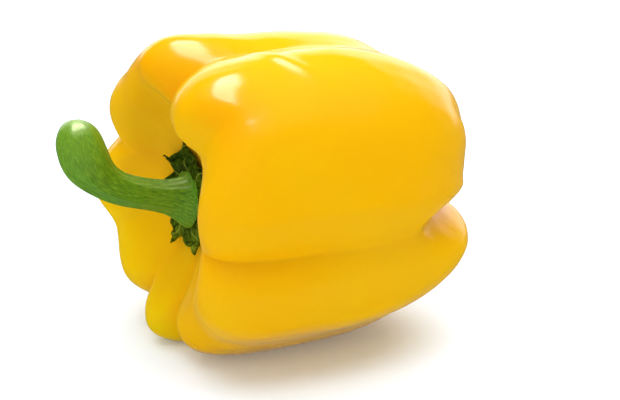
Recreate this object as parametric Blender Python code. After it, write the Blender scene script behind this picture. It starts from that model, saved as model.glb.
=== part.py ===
"""A bell pepper lying on its side: the fruit, the calyx in its stem cavity and the stem.

The pepper's own axis runs along X. The stem end faces -X, the blossom end +X, the side that is
meant to be seen faces -Y, and the pepper rests on a small flat spot at z = 0.
"""
from collections import namedtuple

import bmesh
import bpy
import numpy as np

OBJECT_NAME = "bell_pepper"
MM = 0.001

# Every row is one line over the skin from the stem cavity to the blossom end, in millimetres.
#   angle     degrees round the axis, 0 at the front and 90 on top
#   reach     how far the shoulder stands out past the seat of the calyx
#   crest     radius where the shoulder stands out furthest
#   shoulder, belly, waist, end   radius at four stations on the way to the blossom end
#   tip       how far the blossom end lies from the seat
#   sharp     0 for the ridge of a lobe, up to 1 for a crease with a sharp bottom
Row = namedtuple("Row", "angle reach crest shoulder belly waist end tip sharp")
ROWS = (
    Row(14, 9.7, 29, 43, 45, 42, 29, 64, 0),
    Row(47, 5.8, 31, 46, 46.6, 43.8, 30.8, 67, 0.1),
    Row(62, 10.7, 33, 45.5, 46.3, 43.5, 31, 68, 0),
    Row(90, 2, 28, 41, 41, 39.5, 28, 61, 0.9),
    Row(108, 9.5, 38, 46.8, 43.6, 42, 30, 64, 0),
    Row(126, 11, 34, 45.5, 43, 41, 28, 61, 0.5),
    Row(140, 12.7, 34, 45, 43, 40, 28, 63, 0),
    Row(158, 9, 29, 41, 40, 37, 26, 60, 0.8),
    Row(184, 15.5, 33.5, 44, 43, 40, 28, 63, 0),
    Row(204, 11, 31.5, 42, 41, 38.5, 26, 62, 0.3),
    Row(222, 11.8, 32.5, 43.3, 41.5, 38.5, 26, 62, 0),
    Row(242, 7, 26, 38.5, 38, 37, 24, 60, 0.9),
    Row(260, 12, 31, 40.7, 40.8, 39.8, 26, 63, 0),
    Row(276, 4.5, 26, 38, 39.6, 38.5, 25, 60, 0.9),
    Row(289, 8.7, 29, 40, 40, 37.5, 26, 64, 0),
    Row(308, 7, 27, 39.5, 39.3, 37, 26, 65, 0.3),
    Row(335, 10, 29, 42.5, 44.3, 41, 30, 66.5, 0),
    Row(357, 7.5, 25, 37, 40, 37, 27, 56, 0.9),
)

# The calyx sits off the middle of the fruit and a little nearer the stem end.
SEAT_X = -3.5
SEAT_SHIFT_Y = 1.0
SEAT_SHIFT_Z = 3.2
SEAT_RADIUS = 9.0
SEAT_SHIFT_START = 0.04
SEAT_SHIFT_END = 0.24
DIMPLE_X = 50.0

# How strongly the creases keep their sharp bottom on the way from seat to blossom end.
CREASE_STATIONS = (0, 0.1, 0.25, 0.42, 0.55, 0.75, 0.85, 1)
CREASE_STRENGTH = (0.8, 1, 1, 0.75, 0.45, 0.55, 0.8, 0.4)

FLAT_DEPTH = 1.5
GAP = 0.35

# The rim of the calyx is given as a share of the way over the skin from seat to blossom end.
CALYX_POINTS = 7
CALYX_RIM = 0.064
CALYX_POINT_RIM = 0.007
CALYX_POINT_TURN = 44.0
CALYX_THICKNESS = 1.6
CALYX_LIFT = 1.2

# Middle line of the stem from its foot on the calyx to its cut end, as x and z from the seat,
# with the radius there.
STEM_FOOT_X = -3.0
STEM_LINE = (
    (0, 0, 0),
    (0, 0, 7.4),
    (0, 0, 8.2),
    (-1.2, 0.1, 6.6),
    (-4, 1.0, 4.7),
    (-8.5, 2.1, 3.9),
    (-14, 3.6, 3.9),
    (-19.5, 5.8, 4.1),
    (-24, 9, 4.9),
    (-27.1, 13, 6.1),
    (-28.8, 17.4, 6.4),
    (-29.5, 20.9, 5.8),
    (-29.9, 23.6, 4.4),
    (-30.1, 25.1, 2.6),
    (-30.1, 25.6, 0),
)

STEM_STEP = 1e-4

FRUIT_SEGMENTS_PER_ROW = 5
FRUIT_RINGS = 44
CALYX_SEGMENTS = 60
CALYX_RINGS = 12
STEM_SEGMENTS = 28
STEM_RINGS = 34


def smooth_step(value, start, end):
    """0 before start, 1 after end and a soft S between them."""
    share = np.clip((value - start) / (end - start), 0, 1)
    return share * share * (3 - 2 * share)


def spline_weights(t, count):
    """Weights of count control points on a cubic spline that starts and ends on its end points."""
    knots = np.concatenate([np.zeros(3), np.linspace(0, 1, count - 2), np.ones(3)])
    t = np.clip(t, 0, 1 - 1e-9)[..., None]
    weights = ((t >= knots[:-1]) & (t < knots[1:])).astype(float)
    for degree in (1, 2, 3):
        span = knots[degree:] - knots[:-degree]
        inverse = np.divide(1.0, span, out=np.zeros_like(span), where=span > 0)
        rising = (t - knots[:-degree - 1]) * inverse[:-1]
        falling = (knots[degree + 1:] - t) * inverse[1:]
        weights = rising * weights[..., :-1] + falling * weights[..., 1:]
    return weights


def control_points(row):
    """Control points (x, radius) of one row, from the seat over the shoulder to the dimple."""
    rim = SEAT_X - row.reach
    return (
        (SEAT_X, 0),
        (SEAT_X, SEAT_RADIUS),
        (SEAT_X - 0.2 * row.reach, 0.6 * row.crest),
        (rim + 0.2 * row.reach, 0.8 * row.crest),
        (rim - 3, row.crest - 1),
        (rim - 1, row.crest + 0.6 * (row.shoulder - row.crest)),
        (rim + 8, row.shoulder),
        (16, 0.5 * (row.shoulder + row.belly)),
        (30, row.belly),
        (43, row.waist),
        (row.tip - 10, 0.5 * (row.end + row.waist)),
        (row.tip - 2, row.end - 2),
        (row.tip + 1, 0.6 * row.end),
        (row.tip - 3, 0.28 * row.end),
        (row.tip - 9, 4),
        (DIMPLE_X, 0),
    )


def fruit_point(angle, t):
    """Skin of the fruit in millimetres round its axis, for an angle in degrees and t from 0 to 1."""
    corners = np.array([row.angle for row in ROWS] + [ROWS[0].angle + 360.0])
    sharpness = np.array([row.sharp for row in ROWS])
    points = np.array([control_points(row) for row in ROWS], float)

    turned = (angle - corners[0]) % 360 + corners[0]
    row = np.clip(np.searchsorted(corners, turned, side="right") - 1, 0, len(ROWS) - 1)
    following = (row + 1) % len(ROWS)
    share = (turned - corners[row]) / (corners[row + 1] - corners[row])

    starts_on_ridge = row % 2 == 0
    ridge = np.where(starts_on_ridge, row, following)
    crease = np.where(starts_on_ridge, following, row)
    from_ridge = np.where(starts_on_ridge, share, 1 - share)
    strength = np.interp(t, CREASE_STATIONS, CREASE_STRENGTH)
    power = 2 - 1.15 * sharpness[crease] * strength
    ridge_share = np.cos(0.5 * np.pi * np.clip(from_ridge, 0, 1)) ** power

    along = spline_weights(t, points.shape[1])
    blend = points[ridge] * ridge_share[..., None, None]
    blend += points[crease] * (1 - ridge_share)[..., None, None]
    x, radius = np.moveaxis((along[..., None] * blend).sum(axis=-2), -1, 0)

    seat_share = 1 - smooth_step(t, SEAT_SHIFT_START, SEAT_SHIFT_END)
    turn = np.radians(angle)
    y = SEAT_SHIFT_Y * seat_share - radius * np.cos(turn)
    z = SEAT_SHIFT_Z * seat_share + radius * np.sin(turn)
    return np.stack([x, y, z], axis=-1)


def fruit_place(turns, t):
    """Sphere vertices to skin points, with whole meridians on every ridge and crease."""
    corners = [row.angle for row in ROWS] + [ROWS[0].angle + 360.0]
    angle = np.interp(turns * len(ROWS), np.arange(len(corners)), corners)
    return fruit_point(angle, t)


def calyx_place(turns, t):
    """A thin star draped over the seat: upper side first, then the rim, then the underside."""
    angle = turns * 360.0
    spread = np.sin(np.pi * t)
    point = np.cos(np.radians(CALYX_POINTS * (angle - CALYX_POINT_TURN)))
    rim = CALYX_RIM + CALYX_POINT_RIM * point
    places = fruit_point(angle, rim * spread)
    above = CALYX_THICKNESS * np.clip(np.cos(np.pi * t), 0, 1) ** 0.6
    places[..., 0] -= GAP + CALYX_LIFT * spread ** 3 + above
    return places


def stem_place(turns, t):
    """Rings of the stem at right angles to its middle line, which stays in one upright plane."""
    line = np.array(STEM_LINE)
    x, z, radius = (spline_weights(t, len(line)) @ line).T
    ahead = spline_weights(t + STEM_STEP, len(line)) @ line
    behind = spline_weights(t - STEM_STEP, len(line)) @ line
    # The small push along -X gives the flat foot, where the line stands still, a direction too.
    run_x, run_z = ((ahead - behind)[:, :2] - (1e-6, 0)).T
    length = np.hypot(run_x, run_z)
    across = radius * np.cos(2 * np.pi * turns)
    upward = radius * np.sin(2 * np.pi * turns)
    return np.stack([
        SEAT_X + STEM_FOOT_X + x + upward * run_z / length,
        SEAT_SHIFT_Y + across,
        SEAT_SHIFT_Z + z - upward * run_x / length,
    ], axis=-1)


def make_material(name, color, roughness, coat):
    material = bpy.data.materials.new(name)
    material.use_nodes = True
    shader = material.node_tree.nodes["Principled BSDF"]
    shader.inputs["Base Color"].default_value = (*color, 1.0)
    shader.inputs["Roughness"].default_value = roughness
    shader.inputs["Coat Weight"].default_value = coat
    return material


def reshape_sphere(name, segments, rings, place, material, collection):
    """A sphere whose vertices are moved to place(turn round the poles, way from pole to pole)."""
    shape = bmesh.new()
    bmesh.ops.create_uvsphere(shape, u_segments=segments, v_segments=rings, radius=1.0)
    ball = np.array([vertex.co for vertex in shape.verts])
    turns = np.arctan2(ball[:, 1], ball[:, 0]) / (2 * np.pi) % 1
    t = np.arccos(np.clip(ball[:, 2], -1, 1)) / np.pi
    for vertex, point in zip(shape.verts, place(turns, t) * MM):
        vertex.co = point
    if shape.calc_volume(signed=True) < 0:
        bmesh.ops.reverse_faces(shape, faces=shape.faces)
    for face in shape.faces:
        face.smooth = True
    mesh = bpy.data.meshes.new(name)
    shape.to_mesh(mesh)
    shape.free()
    mesh.materials.append(material)
    piece = bpy.data.objects.new(name, mesh)
    collection.objects.link(piece)
    return piece


def corners_of(pieces):
    """Lowest and highest corner of the box round all the pieces."""
    points = np.array([vertex.co for piece in pieces for vertex in piece.data.vertices])
    return points.min(axis=0), points.max(axis=0)


def set_down(fruit, pieces):
    """Move the pepper over the origin, with its flat spot at z = 0."""
    low, high = corners_of(pieces)
    fruit_low = corners_of([fruit])[0]
    move = (-(low[0] + high[0]) / 2, -(low[1] + high[1]) / 2, -(fruit_low[2] + FLAT_DEPTH * MM))
    for piece in pieces:
        for vertex in piece.data.vertices:
            vertex.co = np.array(vertex.co) + move


def cut_flat_spot(fruit, collection):
    """Take off everything of the fruit below z = 0."""
    shape = bmesh.new()
    bmesh.ops.create_cube(shape, size=1.0)
    for vertex in shape.verts:
        vertex.co = (vertex.co.x * 0.2, vertex.co.y * 0.2, (vertex.co.z - 0.5) * 0.01)
    mesh = bpy.data.meshes.new("flat_spot_cutter")
    shape.to_mesh(mesh)
    shape.free()
    cutter = bpy.data.objects.new("flat_spot_cutter", mesh)
    cutter.hide_render = True
    cutter.display_type = "WIRE"
    collection.objects.link(cutter)
    cut = fruit.modifiers.new("flat_spot", "BOOLEAN")
    cut.operation = "DIFFERENCE"
    cut.solver = "EXACT"
    cut.object = cutter


def clear_scene():
    for item in list(bpy.data.objects):
        bpy.data.objects.remove(item, do_unlink=True)


def main():
    clear_scene()
    collection = bpy.data.collections.new(OBJECT_NAME)
    cutters = bpy.data.collections.new("cutters")
    bpy.context.scene.collection.children.link(collection)
    bpy.context.scene.collection.children.link(cutters)

    skin = make_material("yellow_skin", (0.86, 0.48, 0.02), 0.2, 0.4)
    dark_green = make_material("calyx_green", (0.07, 0.13, 0.01), 0.5, 0.0)
    fresh_green = make_material("stem_green", (0.16, 0.35, 0.03), 0.35, 0.1)

    segments = FRUIT_SEGMENTS_PER_ROW * len(ROWS)
    fruit = reshape_sphere("fruit", segments, FRUIT_RINGS, fruit_place, skin, collection)
    calyx = reshape_sphere("calyx", CALYX_SEGMENTS, CALYX_RINGS, calyx_place, dark_green, collection)
    stem = reshape_sphere("stem", STEM_SEGMENTS, STEM_RINGS, stem_place, fresh_green, collection)
    set_down(fruit, [fruit, calyx, stem])
    cut_flat_spot(fruit, cutters)


main()
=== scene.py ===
"""Looks of the bell pepper: a finely modelled skin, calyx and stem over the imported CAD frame."""
import math
from collections import namedtuple

import bpy
import numpy as np
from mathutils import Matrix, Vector


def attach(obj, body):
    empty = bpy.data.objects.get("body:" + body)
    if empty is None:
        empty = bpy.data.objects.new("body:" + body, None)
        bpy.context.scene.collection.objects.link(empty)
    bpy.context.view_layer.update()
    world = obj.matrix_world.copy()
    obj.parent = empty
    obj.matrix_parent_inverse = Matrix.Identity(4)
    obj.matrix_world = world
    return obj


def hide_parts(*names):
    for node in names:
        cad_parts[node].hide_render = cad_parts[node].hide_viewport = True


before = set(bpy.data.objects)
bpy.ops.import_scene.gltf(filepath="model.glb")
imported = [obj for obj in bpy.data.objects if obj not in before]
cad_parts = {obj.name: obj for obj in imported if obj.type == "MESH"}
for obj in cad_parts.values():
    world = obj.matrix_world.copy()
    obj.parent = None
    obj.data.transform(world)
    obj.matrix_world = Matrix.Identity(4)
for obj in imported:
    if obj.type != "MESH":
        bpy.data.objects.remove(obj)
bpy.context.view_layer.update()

MM = 0.001

# ---------------------------------------------------------------- shape of the fruit, as in part.py
# Every row is one line over the skin from the stem cavity to the blossom end, in millimetres:
# ridge, crease, ridge, crease and so on. angle is in degrees, 0 at the front and 90 on top.
Row = namedtuple("Row", "angle reach crest shoulder belly waist end tip sharp")
ROWS = (
    Row(14, 9.7, 29, 43, 45, 42, 29, 64, 0),
    Row(47, 5.8, 31, 46, 46.6, 43.8, 30.8, 67, 0.1),
    Row(62, 10.7, 33, 45.5, 46.3, 43.5, 31, 68, 0),
    Row(90, 2, 28, 41, 41, 39.5, 28, 61, 0.9),
    Row(108, 9.5, 38, 46.8, 43.6, 42, 30, 64, 0),
    Row(126, 11, 34, 45.5, 43, 41, 28, 61, 0.5),
    Row(140, 12.7, 34, 45, 43, 40, 28, 63, 0),
    Row(158, 9, 29, 41, 40, 37, 26, 60, 0.8),
    Row(184, 15.5, 33.5, 44, 43, 40, 28, 63, 0),
    Row(204, 11, 31.5, 42, 41, 38.5, 26, 62, 0.3),
    Row(222, 11.8, 32.5, 43.3, 41.5, 38.5, 26, 62, 0),
    Row(242, 7, 26, 38.5, 38, 37, 24, 60, 0.9),
    Row(260, 12, 31, 40.7, 40.8, 39.8, 26, 63, 0),
    Row(276, 4.5, 26, 38, 39.6, 38.5, 25, 60, 0.9),
    Row(289, 8.7, 29, 40, 40, 37.5, 26, 64, 0),
    Row(308, 7, 27, 39.5, 39.3, 37, 26, 65, 0.3),
    Row(335, 10, 29, 42.5, 44.3, 41, 30, 66.5, 0),
    Row(357, 7.5, 25, 37, 40, 37, 27, 56, 0.9),
)
SEAT_X = -3.5
SEAT_SHIFT_Y = 1.0
SEAT_SHIFT_Z = 3.2
SEAT_RADIUS = 9.0
SEAT_SHIFT_START = 0.04
SEAT_SHIFT_END = 0.24
DIMPLE_X = 50.0
CREASE_STATIONS = (0, 0.1, 0.25, 0.42, 0.55, 0.75, 0.85, 1)
CREASE_STRENGTH = (0.8, 1, 1, 0.75, 0.45, 0.55, 0.8, 0.4)
# Power of the blend between ridge and crease: round at first, and lower where a crease is sharp.
ROUND_POWER = 2
SHARP_POWER_DROP = 1.15

# The stem's middle line in its upright plane, from the seat out to the cut end: x, z, radius.
STEM_FOOT_X = -3.0
STEM_LINE = (
    (0, 0, 0),
    (0, 0, 7.4),
    (0, 0, 8.2),
    (-1.2, 0.1, 6.6),
    (-4, 1.0, 4.7),
    (-8.5, 2.1, 3.9),
    (-14, 3.6, 3.9),
    (-19.5, 5.8, 4.1),
    (-24, 9, 4.9),
    (-27.1, 13, 6.1),
    (-28.8, 17.4, 6.4),
    (-29.5, 20.9, 5.8),
    (-29.9, 23.6, 4.4),
    (-30.1, 25.1, 2.6),
    (-30.1, 25.6, 0),
)
STEM_STEP = 0.002

# From the pepper's own axis to the frame, in millimetres, and how round the flat spot's edge is.
PLACE = (-13.13, -0.11, 38.86)
FLAT_EDGE = 0.5

# Local swells and hollows of the skin: angle, way along, width in degrees, width along, height,
# and how many degrees the swell's middle turns over the whole way along.
SWELLS = (
    (108, 0.46, 14, 0.035, -0.7, 0),
    (108, 0.37, 16, 0.040, 0.5, 0),
    (74, 0.50, 5, 0.08, 0.4, 0),
    (70, 0.46, 5.5, 0.035, 0.6, -420),
)

# Where the skin is more lemon yellow (above 0) or more orange (below): angle, way along, width
# in degrees, width along, amount. These are partly the skin's own tone and partly painted light
# and shade: the lemon patches on top and round the back and underside paint in brighter light,
# and the orange patches at the shoulders' dents are painted shade.
TINTS_AND_PAINTED_LIGHT = (
    (105, 0.52, 34, 0.16, 0.9),
    (75, 0.5, 22, 0.14, 0.5),
    (155, 0.27, 30, 0.12, 0.3),
    (205, 0.25, 32, 0.13, 0.8),
    (262, 0.27, 26, 0.14, 1.0),
    (50, 0.34, 16, 0.05, -0.9),
    (100, 0.27, 15, 0.06, -0.9),
    (20, 0.55, 30, 0.1, -0.15),
)

# Fine unevenness of the skin: wavelength, height and seed, and where it fades in and out.
SKIN_WAVES = ((17, 0.10, 3), (6, 0.035, 4))
SKIN_WAVES_START = (0.06, 0.2)
SKIN_WAVES_END = (0.9, 0.99)

FRUIT_SEGMENTS = 640
FRUIT_RINGS = 360


def angle_between(first, second):
    """Smallest turn from the second angle to the first, in degrees."""
    return (first - second + 180) % 360 - 180


def smooth_step(value, start, end):
    """0 before start, 1 after end and a soft S between them."""
    share = np.clip((value - start) / (end - start), 0, 1)
    return share * share * (3 - 2 * share)


def spline_weights(t, count):
    """Weights of count control points on a cubic spline that starts and ends on its end points."""
    knots = np.concatenate([np.zeros(3), np.linspace(0, 1, count - 2), np.ones(3)])
    t = np.clip(t, 0, 1 - 1e-9)[..., None]
    weights = ((t >= knots[:-1]) & (t < knots[1:])).astype(float)
    for degree in (1, 2, 3):
        span = knots[degree:] - knots[:-degree]
        inverse = np.divide(1.0, span, out=np.zeros_like(span), where=span > 0)
        rising = (t - knots[:-degree - 1]) * inverse[:-1]
        falling = (knots[degree + 1:] - t) * inverse[1:]
        weights = rising * weights[..., :-1] + falling * weights[..., 1:]
    return weights


def control_points(row):
    """Control points (x, radius) of one row, from the seat over the shoulder to the dimple."""
    rim = SEAT_X - row.reach
    return (
        (SEAT_X, 0),
        (SEAT_X, SEAT_RADIUS),
        (SEAT_X - 0.2 * row.reach, 0.6 * row.crest),
        (rim + 0.2 * row.reach, 0.8 * row.crest),
        (rim - 3, row.crest - 1),
        (rim - 1, row.crest + 0.6 * (row.shoulder - row.crest)),
        (rim + 8, row.shoulder),
        (16, 0.5 * (row.shoulder + row.belly)),
        (30, row.belly),
        (43, row.waist),
        (row.tip - 10, 0.5 * (row.end + row.waist)),
        (row.tip - 2, row.end - 2),
        (row.tip + 1, 0.6 * row.end),
        (row.tip - 3, 0.28 * row.end),
        (row.tip - 9, 4),
        (DIMPLE_X, 0),
    )


def fruit_point(angle, t):
    """Points of the skin in millimetres round the pepper's axis, and how far into a crease."""
    corners = np.array([row.angle for row in ROWS] + [ROWS[0].angle + 360.0])
    sharpness = np.array([row.sharp for row in ROWS])
    points = np.array([control_points(row) for row in ROWS], float)

    turned = (angle - corners[0]) % 360 + corners[0]
    row = np.clip(np.searchsorted(corners, turned, side="right") - 1, 0, len(ROWS) - 1)
    following = (row + 1) % len(ROWS)
    share = (turned - corners[row]) / (corners[row + 1] - corners[row])

    starts_on_ridge = row % 2 == 0
    ridge = np.where(starts_on_ridge, row, following)
    crease = np.where(starts_on_ridge, following, row)
    from_ridge = np.where(starts_on_ridge, share, 1 - share)
    strength = np.interp(t, CREASE_STATIONS, CREASE_STRENGTH)
    power = ROUND_POWER - SHARP_POWER_DROP * sharpness[crease] * strength
    ridge_share = np.cos(0.5 * np.pi * np.clip(from_ridge, 0, 1)) ** power

    along = spline_weights(t, points.shape[1])
    blend = points[ridge] * ridge_share[..., None, None]
    blend += points[crease] * (1 - ridge_share)[..., None, None]
    x, radius = np.moveaxis((along[..., None] * blend).sum(axis=-2), -1, 0)
    for middle, way, wide, long, height, slant in SWELLS:
        across = angle_between(angle, middle + slant * (t - way)) / wide
        radius = radius + height * np.exp(-across ** 2 - ((t - way) / long) ** 2)

    seat_share = 1 - smooth_step(t, SEAT_SHIFT_START, SEAT_SHIFT_END)
    turn = np.radians(angle)
    y = SEAT_SHIFT_Y * seat_share - radius * np.cos(turn)
    z = SEAT_SHIFT_Z * seat_share + radius * np.sin(turn)
    depth = (1 - ridge_share) * sharpness[crease] * strength
    return np.stack([x, y, z], axis=-1), depth


def skin_tint_and_painted_light(angle, t):
    """The sum of the tints at every point: about 1 for lemon yellow, -1 for orange, partly painted
    light and shade.
    """
    total = np.zeros_like(t)
    for middle, way, wide, long, amount in TINTS_AND_PAINTED_LIGHT:
        across = angle_between(angle, middle) / wide
        total += amount * np.exp(-across ** 2 - ((t - way) / long) ** 2)
    return total


def ripples(points, wavelength, seed, waves=7):
    """A soft, even unevenness between about -1 and 1, made of a few crossing waves."""
    dice = np.random.default_rng(seed)
    total = np.zeros(points.shape[:-1])
    for _ in range(waves):
        heading = dice.normal(size=3)
        heading *= dice.uniform(0.7, 1.4) / np.linalg.norm(heading)
        total += np.sin(points @ heading * (2 * np.pi / wavelength) + dice.uniform(0, 2 * np.pi))
    return total / math.sqrt(waves)


# ---------------------------------------------------------------- meshes
def grid_normals(points):
    """Normals of a grid of points that closes along its first axis."""
    round_axis = np.roll(points, -1, axis=0) - np.roll(points, 1, axis=0)
    along = np.gradient(points, axis=1)
    normals = np.cross(along, round_axis)
    return normals / np.maximum(np.linalg.norm(normals, axis=-1, keepdims=True), 1e-12)


def grid_faces(around, along):
    """Corner numbers and sizes of a closed grid's faces: quads, then triangles round both ends."""
    first = np.arange(around)
    second = (first + 1) % around
    rings = np.arange(along - 3)[:, None] * around
    quads = np.stack([rings + first, rings + second, rings + around + second,
                      rings + around + first], axis=-1).reshape(-1, 4)
    last = (along - 3) * around
    start_pole = np.full(around, (along - 2) * around)
    start_fan = np.stack([start_pole, second, first], axis=-1)
    end_fan = np.stack([start_pole + 1, last + first, last + second], axis=-1)
    corners = np.concatenate([quads.ravel(), start_fan.ravel(), end_fan.ravel()])
    sizes = np.concatenate([np.full(len(quads), 4), np.full(2 * around, 3)])
    return corners, sizes


def grid_values(values):
    """A grid's values as rows, one for each mesh point: the inner rings, then the two ends."""
    inner = values[:, 1:-1].swapaxes(0, 1)
    inner = inner.reshape(inner.shape[0] * inner.shape[1], -1)
    ends = [values[:, end].reshape(len(values), -1).mean(axis=0)[None] for end in (0, -1)]
    return np.concatenate([inner, *ends])


def closed_grid(name, points, fields):
    """A closed mesh of a (round, along, xyz) grid in metres, whose two ends shrink to a point.

    fields are values or vectors for every grid point that the materials read by name.
    """
    places = grid_values(points)
    corners, sizes = grid_faces(*points.shape[:2])
    starts = np.concatenate([[0], np.cumsum(sizes)[:-1]])

    mesh = bpy.data.meshes.new(name)
    mesh.vertices.add(len(places))
    mesh.vertices.foreach_set("co", places.ravel())
    mesh.loops.add(len(corners))
    mesh.loops.foreach_set("vertex_index", corners.astype(np.int32))
    mesh.polygons.add(len(sizes))
    mesh.polygons.foreach_set("loop_start", starts.astype(np.int32))
    mesh.update(calc_edges=True)
    mesh.polygons.foreach_set("use_smooth", np.ones(len(sizes), bool))
    for label, values in fields.items():
        data = grid_values(values)
        kind, key = ("FLOAT_VECTOR", "vector") if data.shape[1] == 3 else ("FLOAT", "value")
        attribute = mesh.attributes.new(label, kind, "POINT")
        attribute.data.foreach_set(key, data.ravel())
    return mesh


def add_piece(name, mesh, material, node):
    """Put a mesh in the scene in place of the CAD node."""
    piece = bpy.data.objects.new(name, mesh)
    mesh.materials.append(material)
    bpy.context.scene.collection.objects.link(piece)
    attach(piece, "root")
    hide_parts(node)
    return piece


def fruit_mesh():
    """The fruit's skin with its fine unevenness, pressed flat where it touches the floor."""
    angle, t = np.meshgrid(np.linspace(0, 360, FRUIT_SEGMENTS, endpoint=False),
                           np.linspace(0, 1, FRUIT_RINGS), indexing="ij")
    points, depth = fruit_point(angle, t)
    normals = grid_normals(points)
    away_from_ends = smooth_step(t, *SKIN_WAVES_START) * (1 - smooth_step(t, *SKIN_WAVES_END))
    relief = sum(height * ripples(points, length, seed) for length, height, seed in SKIN_WAVES)
    points = points + normals * (relief * away_from_ends)[..., None] + PLACE
    points[..., 2] = 0.5 * (points[..., 2] + np.hypot(points[..., 2], FLAT_EDGE))
    turn = np.radians(angle)
    strip = np.stack([np.cos(turn), np.sin(turn), t], axis=-1)
    fields = {"strip": strip, "depth": depth, "tint_and_light": skin_tint_and_painted_light(angle, t)}
    return closed_grid("fruit_skin", points * MM, fields)


# ---------------------------------------------------------------- stem and calyx
# Each sepal: angle round the seat of its point, and how far that point is from the seat's centre.
SEPALS = ((46, 14.8), (96, 15.4), (146, 15.2), (194, 15.2), (241, 17), (291, 14.8), (343, 15))

STEM_SEGMENTS = 320
STEM_RINGS = 520

# One rib runs out of every sepal; their heights are given at stations along the stem.
STEM_TWIST = 14
RIB_STATIONS = (0, 0.16, 0.24, 0.4, 0.7, 0.95, 1)
RIB_HEIGHTS = (0, 0.5, 0.55, 0.42, 0.3, 0.2, 0)
RIB_WIDTH = 11
RIB_MEAN = 0.4

# Furrows and lumps: wavelength, height, seed and how fast they change along the stem.
STEM_GIRTH = 4
FURROW_WAVES = (1.1, 0.05, 12, (1.5, 0.8, 2.5))
LUMP_WAVES = (9, 0.10, 13, (0, 0, 40))
STEM_WAVES_START = (0.1, 0.2)
STEM_WAVES_END = (0.93, 1)

# The cut face at the stem's end, beyond this distance from a point inside the end.
CUT_CENTRE = (-35.9, 1.0, 22.5)
CUT_NORMAL = (0.35, 0.9, 0.15)
CUT_DISTANCE = 4.7
CUT_EDGE = 0.35
CUT_COLOR_EDGE = (-0.1, 0.3)
CUT_COLOR_START = 0.6
CUT_START = (0.55, 0.65)

# Size of the strip round and along the stem that its material is drawn on.
STRIP_GIRTH = 4.5
STRIP_LENGTH = 9


def stem_radius(radius, turn, t, spin):
    """The stem's radius with its ribs, lengthwise furrows and lumps."""
    seat_angle = 180 - 360 * turn + STEM_TWIST * t
    ribs = sum(np.exp(-(angle_between(seat_angle, angle) / RIB_WIDTH) ** 2) for angle, _ in SEPALS)
    ribs = ribs - RIB_MEAN
    waves = 0
    for wavelength, height, seed, drift in (FURROW_WAVES, LUMP_WAVES):
        waves = waves + height * ripples(spin * STEM_GIRTH + t[..., None] * drift, wavelength, seed)
    middle = smooth_step(t, *STEM_WAVES_START) * (1 - smooth_step(t, *STEM_WAVES_END))
    return radius + np.interp(t, RIB_STATIONS, RIB_HEIGHTS) * ribs + middle * waves


def cut_stem(points, t):
    """Flatten the end of the stem to its cut face, and tell how much each point is on the face."""
    normal = np.array(CUT_NORMAL) / np.linalg.norm(CUT_NORMAL)
    beyond = (points - CUT_CENTRE) @ normal - CUT_DISTANCE
    cut = smooth_step(beyond, *CUT_COLOR_EDGE) * (t > CUT_COLOR_START)
    beyond = 0.5 * (beyond + np.hypot(beyond, CUT_EDGE)) * smooth_step(t, *CUT_START)
    return points - beyond[..., None] * normal, cut


def stem_mesh():
    """Rings of the stem at right angles to its middle line, which stays in one upright plane."""
    turn, t = np.meshgrid(np.linspace(0, 1, STEM_SEGMENTS, endpoint=False),
                          np.linspace(0, 1, STEM_RINGS), indexing="ij")
    line = np.array(STEM_LINE)
    x, z, radius = np.moveaxis(spline_weights(t, len(line)) @ line, -1, 0)
    ahead = spline_weights(t + STEM_STEP, len(line)) @ line
    behind = spline_weights(t - STEM_STEP, len(line)) @ line
    # The small push along -X gives the flat foot, where the line stands still, a direction too.
    run_x, run_z = np.moveaxis((ahead - behind)[..., :2] - (1e-6, 0), -1, 0)
    length = np.hypot(run_x, run_z)

    spin = np.stack([np.cos(2 * np.pi * turn), np.sin(2 * np.pi * turn), 0 * t], axis=-1)
    radius = stem_radius(radius, turn, t, spin)
    across = radius * spin[..., 0]
    upward = radius * spin[..., 1]
    points = np.stack([
        SEAT_X + STEM_FOOT_X + x + upward * run_z / length,
        SEAT_SHIFT_Y + across,
        SEAT_SHIFT_Z + z - upward * run_x / length,
    ], axis=-1)
    points, cut = cut_stem(points, t)
    strip = spin * STRIP_GIRTH
    strip[..., 2] = t * STRIP_LENGTH
    return closed_grid("green_stem", (points + PLACE) * MM, {"strip": strip, "cut": cut, "way": t})


CALYX_SEGMENTS = 720
CALYX_RINGS = 400
CALYX_RADIUS = 12.8
CALYX_SHEET = 0.7
SEPAL_HALF_WIDTH = 10.0
SEPAL_SHARPNESS = 1.6
SEPAL_MIDDLE = 1.1

# Waves of the calyx, with the size of the circle that they run round: wavelength, height, seed.
WAVE_CIRCLE = 14
RIM_WAVES = (6, 0.5, 21)
RUFFLE_WAVES = (7.5, 1.1, 25)
# The sheet bulges between cell borders, which wavelength, height and two seeds bend.
CALYX_CELLS = 75
CELL_SPREAD = 17
CELL_SEED = 24
CELL_SLOPE = 0.9
CELL_BEND = (5, 0.7, 22, 23)

# Heights above the seat, and where the collar round the stem's foot ends and the outer part starts.
CALYX_BASE = 0.5
COLLAR_HEIGHT = 2.0
COLLAR_END = (8.5, 11.5)
OUTER_START = (7.5, 12.5)
OUTER_HEIGHT = 1.1
CELL_HEIGHT = 1.1
SEPAL_HEIGHT = 0.9
VEIN_HEIGHT = 0.22
# The sheet thins out at its rim by this power. Its underside stays this far above the seat, and
# it is hollow below the cells.
RIM_POWER = 0.4
UNDERSIDE_LOWEST = 0.3
UNDERSIDE_HOLLOW = 0.6
# One side of the calyx stands up higher: angle, width in degrees and height.
LIFTED_SIDE = (228, 38, 1.6)

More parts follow.
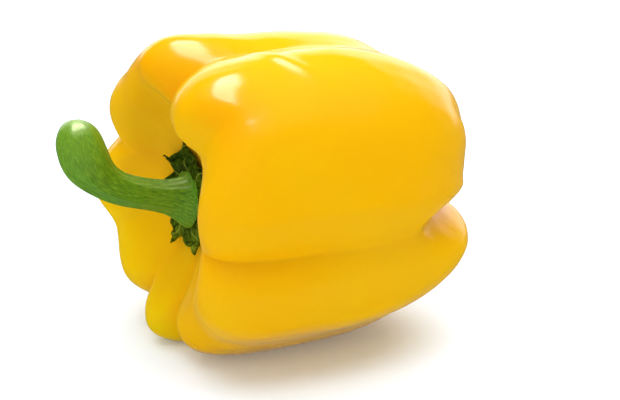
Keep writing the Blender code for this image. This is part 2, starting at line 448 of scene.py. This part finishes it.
# Veins: how far they spread to a sepal's sides in degrees, how much and how fast they sway on
# their way out, the middle vein's width, and the side veins' distance, slant, width and strength.
VEIN_REACH = 26
VEIN_SWAY = (5, 0.7)
MIDDLE_VEIN_WIDTH = 0.28
SIDE_VEIN_STEP = 2.7
SIDE_VEIN_SLANT = 0.9
SIDE_VEIN_WIDTH = 0.16
SIDE_VEIN_STRENGTH = 0.6
SIDE_VEIN_START = (0.1, 0.6)

# Search for the place on the seat's skin at a given distance: first guess, steps, softening.
SEAT_GUESS = 0.005
SEAT_STEPS = 6
SEAT_SOFTENING = 0.01


def seat_point(angle, reach):
    """Points of the stem cavity's skin at this distance from the middle of the seat."""
    t = SEAT_GUESS * reach
    for _ in range(SEAT_STEPS):
        points = fruit_point(angle, t)[0]
        away = np.hypot(points[..., 1] - SEAT_SHIFT_Y, points[..., 2] - SEAT_SHIFT_Z)
        t = t * (reach + SEAT_SOFTENING) / (away + SEAT_SOFTENING)
    return points


def cell_borders(points, count, radius, seed):
    """How far each point is from the borders of cells scattered over a disc, in millimetres."""
    dice = np.random.default_rng(seed)
    middles = dice.uniform(-radius, radius, size=(count, 2))
    nearest = np.full(points.shape[:-1], 1e9)
    second = nearest.copy()
    for middle in middles:
        away = np.hypot(*np.moveaxis(points - middle, -1, 0))
        second = np.minimum(second, np.maximum(nearest, away))
        nearest = np.minimum(nearest, away)
    return second - nearest


def calyx_veins(angle, reach):
    """Middle veins of the sepals and, fainter, their side veins, from 0 to 1."""
    veins = np.zeros_like(angle)
    sway, pace = VEIN_SWAY
    for middle, _ in SEPALS:
        off = np.radians(angle_between(angle, middle + sway * np.sin(pace * reach)))
        side = np.abs(reach * np.sin(off))
        ahead = reach * np.cos(off)
        here = np.abs(off) < np.radians(VEIN_REACH)
        spine = np.exp(-(side / MIDDLE_VEIN_WIDTH) ** 2)
        slanted = (ahead - SIDE_VEIN_SLANT * side) / SIDE_VEIN_STEP
        wave = np.abs(slanted % 1 - 0.5) * SIDE_VEIN_STEP
        branches = SIDE_VEIN_STRENGTH * np.exp(-(wave / SIDE_VEIN_WIDTH) ** 2)
        branches = branches * smooth_step(side, *SIDE_VEIN_START)
        veins = np.maximum(veins, here * np.maximum(spine, branches))
    return veins


def calyx_outline(angle):
    """How far the calyx reaches at every angle, and how near that is to the middle of a sepal."""
    rim = np.full_like(angle, CALYX_RADIUS)
    nearness = np.zeros_like(angle)
    for middle, tip in SEPALS:
        off = np.abs(angle_between(angle, middle)) / SEPAL_HALF_WIDTH
        point = np.clip(1 - off, 0, 1) ** SEPAL_SHARPNESS
        rim = np.maximum(rim, CALYX_RADIUS + (tip - CALYX_RADIUS) * point)
        nearness = np.maximum(nearness, np.exp(-(SEPAL_MIDDLE * off) ** 2))
    return rim, nearness


def calyx_cells(flat):
    """Bulges between the crooked cell borders of the sheet, from 0 on a border to 1."""
    wavelength, height, first_seed, second_seed = CELL_BEND
    level = np.dstack([flat, 0 * flat[..., 0]])
    bent = flat + height * np.stack([ripples(level, wavelength, first_seed),
                                     ripples(level, wavelength, second_seed)], axis=-1)
    borders = cell_borders(bent, CALYX_CELLS, CELL_SPREAD, CELL_SEED)
    return 1 - np.exp(-borders / CELL_SLOPE)


def calyx_mesh():
    """A crumpled star of sepals round the stem's foot: upper side, rim, then underside."""
    angle, t = np.meshgrid(np.linspace(0, 360, CALYX_SEGMENTS, endpoint=False),
                           np.linspace(0, 1, CALYX_RINGS), indexing="ij")
    spread = np.sin(np.pi * t)
    turn = np.radians(angle)
    circle = np.stack([np.cos(turn), np.sin(turn), 0 * turn], axis=-1) * WAVE_CIRCLE
    rim, nearness = calyx_outline(angle)
    wavelength, height, seed = RIM_WAVES
    reach = (rim + height * ripples(circle, wavelength, seed)) * spread
    quilted = calyx_cells(np.stack([reach * np.cos(turn), reach * np.sin(turn)], axis=-1))
    veins = calyx_veins(angle, reach)
    wavelength, height, seed = RUFFLE_WAVES
    ruffle = height * ripples(circle, wavelength, seed) * spread ** 2

    outer = smooth_step(reach, *OUTER_START)
    collar = COLLAR_HEIGHT * (1 - smooth_step(reach, *COLLAR_END))
    lifted_angle, lifted_width, lifted_height = LIFTED_SIDE
    lifted = lifted_height * np.exp(-(angle_between(angle, lifted_angle) / lifted_width) ** 2)
    raised = OUTER_HEIGHT + CELL_HEIGHT * quilted + ruffle + SEPAL_HEIGHT * nearness + lifted
    height = CALYX_BASE + collar + outer * raised + VEIN_HEIGHT * veins

    sheet = CALYX_SHEET * np.clip(np.cos(np.pi * t), 0, 1) ** RIM_POWER
    under = np.maximum(UNDERSIDE_LOWEST, height - CALYX_SHEET - UNDERSIDE_HOLLOW * quilted * outer)
    over = np.where(t < 0.5, height - CALYX_SHEET + sheet, under)
    points = seat_point(angle, reach)
    points[..., 0] -= over
    return closed_grid("calyx_star", (points + PLACE) * MM, {"vein": veins, "quilt": quilted})


# ---------------------------------------------------------------- materials
# Sockets of a Mix node for colours; their names aren't unique, so they are told by number.
MIX_FACTOR = 0
MIX_FIRST = 6
MIX_SECOND = 7
MIX_RESULT = 2


def node_tools(tree):
    """Two helpers for a node tree: one adds a node with its settings, one links two sockets."""
    def node(kind, **settings):
        made = tree.nodes.new(kind)
        for key, value in settings.items():
            setattr(made, key, value)
        return made

    return node, tree.links.new


def new_material(name):
    """A Principled material, its shader and the helpers for its node tree."""
    material = bpy.data.materials.new(name)
    material.use_nodes = True
    tree = material.node_tree
    node, link = node_tools(tree)
    return material, tree.nodes["Principled BSDF"], node, link


def set_inputs(shader, values):
    """Give sockets of the shader values that are the same all over the surface."""
    for socket, value in values.items():
        shader.inputs[socket].default_value = value


def noise(node, link, vector, scale, detail, roughness=0.5):
    """Soft noise, mostly within NOISE_RANGE; scale counts its spots per unit of the vector."""
    made = node("ShaderNodeTexNoise")
    made.inputs["Scale"].default_value = scale
    made.inputs["Detail"].default_value = detail
    made.inputs["Roughness"].default_value = roughness
    link(vector, made.inputs["Vector"])
    return made.outputs["Fac"]


def ramp(node, link, factor, stops):
    """A colour ramp through (position, colour) stops."""
    made = node("ShaderNodeValToRGB")
    elements = made.color_ramp.elements
    while len(elements) < len(stops):
        elements.new(0.5)
    for element, (position, color) in zip(elements, stops):
        element.position = position
        element.color = (*color, 1.0)
    link(factor, made.inputs["Fac"])
    return made.outputs["Color"]


def map_range(node, link, value, source, target):
    """The value moved from the source range to the target range, and kept within it."""
    made = node("ShaderNodeMapRange")
    made.inputs["From Min"].default_value, made.inputs["From Max"].default_value = source
    made.inputs["To Min"].default_value, made.inputs["To Max"].default_value = target
    link(value, made.inputs["Value"])
    return made.outputs["Result"]


def mix(node, link, factor, first, second):
    """The first colour, or the second one where the factor is 1; the second is a constant."""
    made = node("ShaderNodeMix", data_type="RGBA")
    link(factor, made.inputs[MIX_FACTOR])
    link(first, made.inputs[MIX_FIRST])
    made.inputs[MIX_SECOND].default_value = (*second, 1.0)
    return made.outputs[MIX_RESULT]


def blend_by(node, link, color, value, source, share, other):
    """Blend another colour in, by one share at the source range's start and another at its end."""
    return mix(node, link, map_range(node, link, value, source, share), color, other)


def bump(node, link, height, strength, distance, normal=None):
    """A normal that shows the height as fine relief, on top of another normal if one is given."""
    made = node("ShaderNodeBump")
    made.inputs["Strength"].default_value = strength
    made.inputs["Distance"].default_value = distance
    link(height, made.inputs["Height"])
    if normal is not None:
        link(normal, made.inputs["Normal"])
    return made.outputs["Normal"]


NOISE_RANGE = (0.3, 0.7)

# Colours are in linear light. Where one colour is blended into another, a range of the value that
# it follows comes first, and then the share of the new colour at both ends of that range.
SKIN_YELLOW = (0.80, 0.415, 0.001)
SKIN_DEEP = (0.82, 0.35, 0.001)
SKIN_LEMON = (0.77, 0.52, 0.001)
SKIN_SHEEN = (1.0, 0.85, 0.5)
SKIN_TINT_AND_LIGHT_STRENGTH = 0.4
SKIN_TINT_AND_LIGHT_RANGE = (-0.5, 0.5)
SKIN_PATCH_SCALE = 28
SKIN_PATCHES = (-0.08, 0.08)
# Painted shade in the creases: a range of crease depth, then the shares of deep orange.
SKIN_CREASE_PAINTED_SHADE = (0.2, 0.9)
SKIN_CREASE_PAINTED_SHADE_SHARE = (0, 0.45)
SKIN_WAX_SCALE = 60
SKIN_ROUGHNESS = (0.15, 0.21)
SKIN_STREAK_SCALE = 9
SKIN_PORE_SCALE = 900

STEM_DARK = (0.035, 0.15, 0.0)
STEM_GREEN = (0.085, 0.25, 0.0)
STEM_LIGHT = (0.20, 0.37, 0.01)
STEM_FLECK = (0.30, 0.45, 0.16)
STEM_CUT = (0.30, 0.30, 0.10)
STEM_FURROW_SCALE = 3.2
# Painted highlight: the stem turns paler towards its thick end, over this range of the way along.
STEM_PAINTED_HIGHLIGHT_END = (0.55, 0.8)
STEM_PAINTED_HIGHLIGHT_SHARE = (0, 0.4)
STEM_FLECK_SCALE = 2600
STEM_FLECK_RANGE = (0.66, 0.74)
STEM_FLECK_SHARE = (0, 0.5)
STEM_PORE_SCALE = 1100
STEM_ROUGHNESS = (0.4, 0.48)

# Painted light and shade: the calyx is lighter low down and darker high up; both ranges are heights in
# metres.
CALYX_DARK = (0.012, 0.026, 0.0)
CALYX_GREEN = (0.06, 0.105, 0.001)
CALYX_LIGHT = (0.17, 0.22, 0.006)
# The veins' own paler green, brightened as a painted glint.
CALYX_VEIN_AND_GLINT = (0.30, 0.36, 0.03)
CALYX_MOTTLE_SCALE = 500
CALYX_PAINTED_LIGHT_LOW = (0.028, 0.04)
CALYX_PAINTED_LIGHT_LOW_SHARE = (0.35, 0)
CALYX_PAINTED_SHADE_HIGH = (0.042, 0.05)
CALYX_PAINTED_SHADE_HIGH_SHARE = (0, 0.6)
# Painted shade between the cells: a range of the cell bulge, then the shares of the dark colour.
CALYX_BORDER_PAINTED_SHADE = (0.1, 0.6)
CALYX_BORDER_PAINTED_SHADE_SHARE = (0.85, 0)
CALYX_VEIN_AND_GLINT_RANGE = (0.3, 0.9)
CALYX_VEIN_AND_GLINT_SHARE = (0, 0.6)
CALYX_ROUGHNESS = (0.38, 0.55)

FLOOR_DIM = (0.80, 0.88, 0.97)
FLOOR_WHITE = (0.81, 0.89, 0.98)
FLOOR_PATCH_SCALE = 3


def skin_material():
    """Waxy yellow skin: lemon and orange tints that are partly painted light and shade, painted shade
    in its creases, faint streaks and fine pores.
    """
    material, shader, node, link = new_material("yellow_skin")
    place = node("ShaderNodeTexCoord").outputs["Object"]
    strip = node("ShaderNodeAttribute", attribute_name="strip").outputs["Vector"]
    depth = node("ShaderNodeAttribute", attribute_name="depth").outputs["Fac"]
    tint_and_light = node("ShaderNodeAttribute", attribute_name="tint_and_light").outputs["Fac"]
    patches = noise(node, link, place, scale=SKIN_PATCH_SCALE, detail=2)
    patches = map_range(node, link, patches, NOISE_RANGE, SKIN_PATCHES)
    # Painted light and shade: the tints lighten the skin to lemon where it should look brighter lit
    # and deepen it to orange in the shoulders' dents.
    shade = node("ShaderNodeMath", operation="MULTIPLY_ADD")
    link(tint_and_light, shade.inputs[0])
    shade.inputs[1].default_value = SKIN_TINT_AND_LIGHT_STRENGTH
    link(patches, shade.inputs[2])
    shade = map_range(node, link, shade.outputs["Value"], SKIN_TINT_AND_LIGHT_RANGE, (0, 1))
    color = ramp(node, link, shade, ((0.1, SKIN_DEEP), (0.5, SKIN_YELLOW), (0.9, SKIN_LEMON)))
    # Painted shade: the creases are blended towards deep orange.
    color = blend_by(node, link, color, depth, SKIN_CREASE_PAINTED_SHADE, SKIN_CREASE_PAINTED_SHADE_SHARE, SKIN_DEEP)
    link(color, shader.inputs["Base Color"])
    wax = noise(node, link, place, scale=SKIN_WAX_SCALE, detail=3)
    link(map_range(node, link, wax, NOISE_RANGE, SKIN_ROUGHNESS), shader.inputs["Roughness"])
    streaks = noise(node, link, strip, scale=SKIN_STREAK_SCALE, detail=3)
    pores = noise(node, link, place, scale=SKIN_PORE_SCALE, detail=3)
    normal = bump(node, link, streaks, strength=0.15, distance=0.0004)
    normal = bump(node, link, pores, strength=0.08, distance=0.0001, normal=normal)
    link(normal, shader.inputs["Normal"])
    set_inputs(shader, {
        "IOR": 1.45,
        "Specular IOR Level": 0.1,
        "Sheen Weight": 0.08,
        "Sheen Roughness": 0.25,
        "Sheen Tint": (*SKIN_SHEEN, 1.0),
        "Subsurface Weight": 0.15,
        "Subsurface Radius": (1.0, 0.45, 0.05),
        "Subsurface Scale": 0.003,
    })
    return material


def stem_material():
    """Fresh green stem: streaked along its furrows, paler towards its thick end as a painted
    highlight, with pale flecks.
    """
    material, shader, node, link = new_material("stem_green")
    place = node("ShaderNodeTexCoord").outputs["Object"]
    strip = node("ShaderNodeAttribute", attribute_name="strip").outputs["Vector"]
    way = node("ShaderNodeAttribute", attribute_name="way").outputs["Fac"]
    cut = node("ShaderNodeAttribute", attribute_name="cut").outputs["Fac"]
    furrows = noise(node, link, strip, scale=STEM_FURROW_SCALE, detail=4, roughness=0.6)
    flecks = noise(node, link, place, scale=STEM_FLECK_SCALE, detail=2)
    color = ramp(node, link, furrows, ((0.34, STEM_DARK), (0.5, STEM_GREEN), (0.7, STEM_LIGHT)))
    # Painted highlight: the stem turns paler towards its thick end.
    color = blend_by(node, link, color, way, STEM_PAINTED_HIGHLIGHT_END, STEM_PAINTED_HIGHLIGHT_SHARE, STEM_LIGHT)
    color = blend_by(node, link, color, flecks, STEM_FLECK_RANGE, STEM_FLECK_SHARE, STEM_FLECK)
    color = mix(node, link, cut, color, STEM_CUT)
    link(color, shader.inputs["Base Color"])
    link(map_range(node, link, furrows, NOISE_RANGE, STEM_ROUGHNESS), shader.inputs["Roughness"])
    pores = noise(node, link, place, scale=STEM_PORE_SCALE, detail=3)
    normal = bump(node, link, furrows, strength=0.25, distance=0.0003)
    normal = bump(node, link, pores, strength=0.3, distance=0.0002, normal=normal)
    link(normal, shader.inputs["Normal"])
    set_inputs(shader, {
        "Specular IOR Level": 0.8,
        "Specular Tint": (0.9, 1.0, 0.55, 1.0),
        "Subsurface Weight": 0.1,
        "Subsurface Radius": (0.4, 1.0, 0.1),
        "Subsurface Scale": 0.002,
    })
    return material


def calyx_material():
    """Dull green calyx: mottled, with painted light low down and painted shade high up and between its
    cells, and pale along its veins, partly as painted glints.
    """
    material, shader, node, link = new_material("calyx_green")
    place = node("ShaderNodeTexCoord").outputs["Object"]
    vein = node("ShaderNodeAttribute", attribute_name="vein").outputs["Fac"]
    quilt = node("ShaderNodeAttribute", attribute_name="quilt").outputs["Fac"]
    axes = node("ShaderNodeSeparateXYZ")
    link(place, axes.inputs["Vector"])
    height = axes.outputs["Z"]
    mottle = noise(node, link, place, scale=CALYX_MOTTLE_SCALE, detail=4, roughness=0.6)
    color = ramp(node, link, mottle, ((0.3, CALYX_DARK), (0.55, CALYX_GREEN), (0.8, CALYX_LIGHT)))
    # Painted light and shade: lighter low down, darker high up.
    color = blend_by(node, link, color, height, CALYX_PAINTED_LIGHT_LOW, CALYX_PAINTED_LIGHT_LOW_SHARE, CALYX_LIGHT)
    color = blend_by(node, link, color, height, CALYX_PAINTED_SHADE_HIGH, CALYX_PAINTED_SHADE_HIGH_SHARE, CALYX_DARK)
    # Painted shade: dark along the borders between the cells.
    color = blend_by(node, link, color, quilt, CALYX_BORDER_PAINTED_SHADE, CALYX_BORDER_PAINTED_SHADE_SHARE, CALYX_DARK)
    # The veins' own paler green, brightened as a painted glint.
    color = blend_by(node, link, color, vein, CALYX_VEIN_AND_GLINT_RANGE, CALYX_VEIN_AND_GLINT_SHARE, CALYX_VEIN_AND_GLINT)
    link(color, shader.inputs["Base Color"])
    link(map_range(node, link, mottle, NOISE_RANGE, CALYX_ROUGHNESS), shader.inputs["Roughness"])
    link(bump(node, link, mottle, strength=0.5, distance=0.0004), shader.inputs["Normal"])
    set_inputs(shader, {"Specular IOR Level": 0.03})
    return material


def floor_material():
    """Nearly white floor, a little lifted so that it runs into the white backdrop."""
    material, shader, node, link = new_material("pale_floor")
    place = node("ShaderNodeTexCoord").outputs["Object"]
    patches = noise(node, link, place, scale=FLOOR_PATCH_SCALE, detail=2)
    color = ramp(node, link, patches, ((0.3, FLOOR_DIM), (0.7, FLOOR_WHITE)))
    link(color, shader.inputs["Base Color"])
    set_inputs(shader, {
        "Roughness": 0.7,
        "Specular IOR Level": 0.2,
        "Emission Color": (1.0, 1.0, 1.0, 1.0),
        "Emission Strength": 0.12,
    })
    return material


# ---------------------------------------------------------------- studio
FLOOR_SIZE = 8.0
AIM = Vector((0.0154, -0.0001, 0.0365))
CAMERA_AZIMUTH = -25.0
CAMERA_ELEVATION = 20.0
CAMERA_DISTANCE = 0.5
CAMERA_LENS = 107.0

# Strengths of the world: as even light, as the backdrop, and in mirrored rays as the dark room
# and as the bright wall in it.
AMBIENT = 0.5
BACKDROP = 1.1
MIRROR_DARK = 0.04
MIRROR_WALL = 3.0

# Where the wall fades in or out, along the axes of the direction that a ray goes in, and how
# much of it is left below the horizon.
WALL_FRONT_EDGE = (0.1, 0.4)
WALL_TOP_EDGE = (0.52, 0.6)
WALL_LEFT_EDGE = (-0.45, -0.1)
WALL_HORIZON = (-0.06, 0.04)
WALL_BELOW = 0.06


def direction(azimuth, elevation):
    """From the object towards a place at this azimuth (0 in front, 90 at +X) and elevation."""
    azimuth = math.radians(azimuth)
    elevation = math.radians(elevation)
    level = math.cos(elevation)
    return Vector((math.sin(azimuth) * level, -math.cos(azimuth) * level, math.sin(elevation)))


def aimed_object(name, data, azimuth, elevation, distance):
    """A camera or light that looks at AIM from this direction and distance."""
    made = bpy.data.objects.new(name, data)
    bpy.context.scene.collection.objects.link(made)
    made.location = AIM + direction(azimuth, elevation) * distance
    made.rotation_euler = direction(azimuth, elevation).to_track_quat("Z", "Y").to_euler()
    return made


def add_camera():
    """The scene's camera, a long lens that looks down at the pepper from the front left."""
    data = bpy.data.cameras.new("camera")
    data.lens = CAMERA_LENS
    data.sensor_width = 36.0
    camera = aimed_object("camera", data, CAMERA_AZIMUTH, CAMERA_ELEVATION, CAMERA_DISTANCE)
    bpy.context.scene.camera = camera


def add_sun(name, azimuth, elevation, share, angle):
    """Soft, even light on everything that isn't a mirror; share 1 lights a white wall fully."""
    data = bpy.data.lights.new(name, "SUN")
    data.energy = share * math.pi
    data.angle = math.radians(angle)
    sun = aimed_object(name, data, azimuth, elevation, 1.0)
    sun.visible_glossy = False


def add_softbox(name, place, spin, size, radiance):
    """A bright oval panel that faces down and only shows as a highlight in glossy skin."""
    data = bpy.data.lights.new(name, "AREA")
    data.shape = "ELLIPSE"
    data.size, data.size_y = size
    data.energy = radiance * math.pi * size[0] * size[1]
    panel = bpy.data.objects.new(name, data)
    bpy.context.scene.collection.objects.link(panel)
    panel.location = AIM + Vector(place)
    panel.rotation_euler = (0, 0, math.radians(spin))
    panel.visible_diffuse = False


def add_floor():
    """The floor that the pepper lies on. Mirrored, it would lay a pale haze over the skin."""
    mesh = bpy.data.meshes.new("floor")
    half = FLOOR_SIZE / 2
    corners = [(-half, -half, 0), (half, -half, 0), (half, half, 0), (-half, half, 0)]
    mesh.from_pydata(corners, [], [(0, 1, 2, 3)])
    mesh.materials.append(floor_material())
    floor = bpy.data.objects.new("floor", mesh)
    bpy.context.scene.collection.objects.link(floor)
    floor.visible_glossy = False


def mirrored_wall(node, link):
    """How much of the bright wall a ray sees, from 0 to 1, by the direction that it goes in."""
    axes = node("ShaderNodeSeparateXYZ")
    link(node("ShaderNodeTexCoord").outputs["Generated"], axes.inputs["Vector"])
    wall = map_range(node, link, axes.outputs["Y"], WALL_FRONT_EDGE, (0, 1))
    for axis, edge, ends in (("Z", WALL_TOP_EDGE, (1, 0)),
                             ("X", WALL_LEFT_EDGE, (0, 1)),
                             ("Z", WALL_HORIZON, (WALL_BELOW, 1))):
        product = node("ShaderNodeMath", operation="MULTIPLY")
        link(wall, product.inputs[0])
        link(map_range(node, link, axes.outputs[axis], edge, ends), product.inputs[1])
        wall = product.outputs["Value"]
    return wall


def add_world():
    """White studio with even light and a white backdrop.

    Mirrored rays see a dark room instead, with one bright wall low behind the pepper. The wall
    ends towards the left, and little of it is left below the horizon.
    """
    world = bpy.data.worlds.new("studio")
    bpy.context.scene.world = world
    world.use_nodes = True
    node, link = node_tools(world.node_tree)
    path = node("ShaderNodeLightPath")

    def background(strength):
        made = node("ShaderNodeBackground")
        made.inputs["Color"].default_value = (1.0, 1.0, 1.0, 1.0)
        made.inputs["Strength"].default_value = strength
        return made

    def choose(ray, others, chosen):
        made = node("ShaderNodeMixShader")
        link(path.outputs[ray], made.inputs["Fac"])
        link(others, made.inputs[1])
        link(chosen.outputs["Background"], made.inputs[2])
        return made.outputs["Shader"]

    room = background(MIRROR_DARK)
    wall = mirrored_wall(node, link)
    link(map_range(node, link, wall, (0, 1), (MIRROR_DARK, MIRROR_WALL)), room.inputs["Strength"])
    shader = choose("Is Glossy Ray", background(AMBIENT).outputs["Background"], room)
    shader = choose("Is Camera Ray", shader, background(BACKDROP))
    link(shader, world.node_tree.nodes["World Output"].inputs["Surface"])


def main():
    """Build the three pieces and the studio."""
    bpy.context.scene.view_settings.view_transform = "Standard"
    add_piece("fruit_skin", fruit_mesh(), skin_material(), "fruit")
    add_piece("calyx_star", calyx_mesh(), calyx_material(), "calyx")
    add_piece("green_stem", stem_mesh(), stem_material(), "stem")
    add_floor()
    add_world()
    add_sun("top_light", azimuth=140, elevation=80, share=0.95, angle=80)
    add_sun("front_light", azimuth=-50, elevation=40, share=0.2, angle=60)
    add_softbox("overhead_softbox", place=(-0.02, 0.08, 0.6), spin=-20, size=(0.20, 0.64), radiance=30)
    add_camera()


main()
